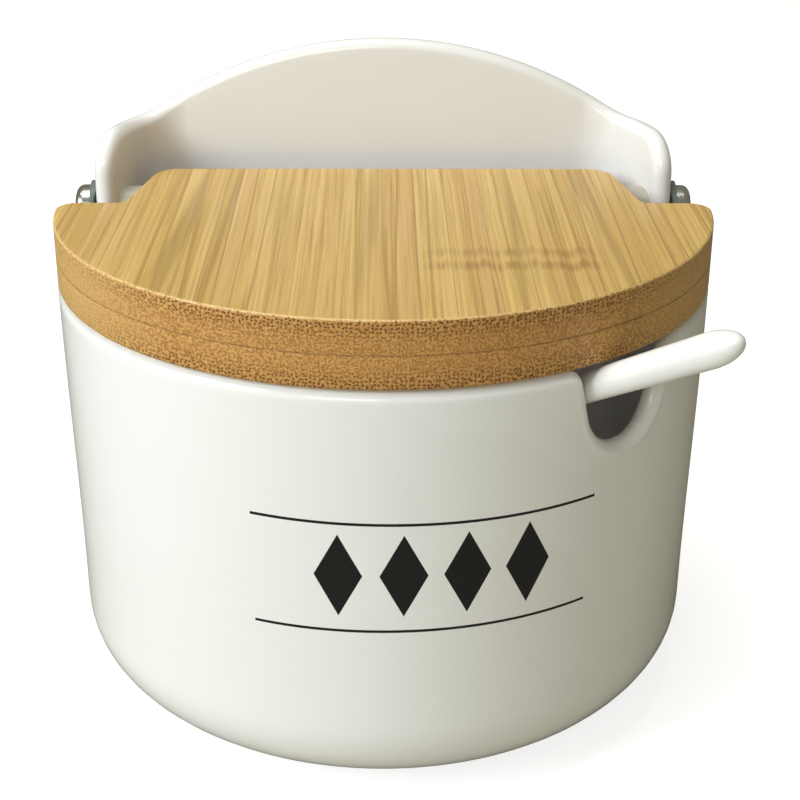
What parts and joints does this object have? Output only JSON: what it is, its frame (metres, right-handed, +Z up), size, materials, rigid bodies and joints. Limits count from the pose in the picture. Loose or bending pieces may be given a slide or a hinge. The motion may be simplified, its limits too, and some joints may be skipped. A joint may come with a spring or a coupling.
{
  "type": "salt box with hinged lid",
  "caption": "Glazed ceramic salt box with a scooped back, a hinged bamboo lid and a ceramic spoon leaning out through a notch in the rim.",
  "frame": {"origin": "on the flat base, below the centre of the round front", "axes": "+Z up; +Y towards the flat back, so the round front faces -Y; +X to the right as seen from the front"},
  "size_m": [0.124, 0.1048, 0.1205],
  "materials": {
    "glazed_pot": "glossy white glaze with two thin black lines and a row of small black lozenges on the front",
    "glazed_spoon": "glossy white glaze",
    "bamboo_lower": "oiled bamboo board, end grain on the curved edge",
    "bamboo_upper": "oiled bamboo board, straight strips on the top",
    "steel": "bright plated steel",
    "rubber": "dark grey rubber"
  },
  "bodies": {
    "box": {"pot": "glazed_pot", "outer_washer_left": "rubber", "outer_washer_right": "rubber", "inner_spacer_left": "rubber", "inner_spacer_right": "rubber"},
    "lid": {"lid_lower_ply": "bamboo_lower", "lid_upper_ply": "bamboo_upper", "hinge_screw_left": "steel", "hinge_screw_right": "steel"},
    "spoon": {"spoon": "glazed_spoon"}
  },
  "joints": [
    {"name": "lid_hinge", "type": "hinge", "parent": "box", "child": "lid", "pos_m": [0, 0.0176, 0.0894], "axis": [-1, 0, 0], "range_deg": [0, 92]},
    {"name": "spoon_pull", "type": "slide", "parent": "box", "child": "spoon", "axis": [0.5727, -0.6473, 0.503], "range_m": [0, 0.015]}
  ]
}
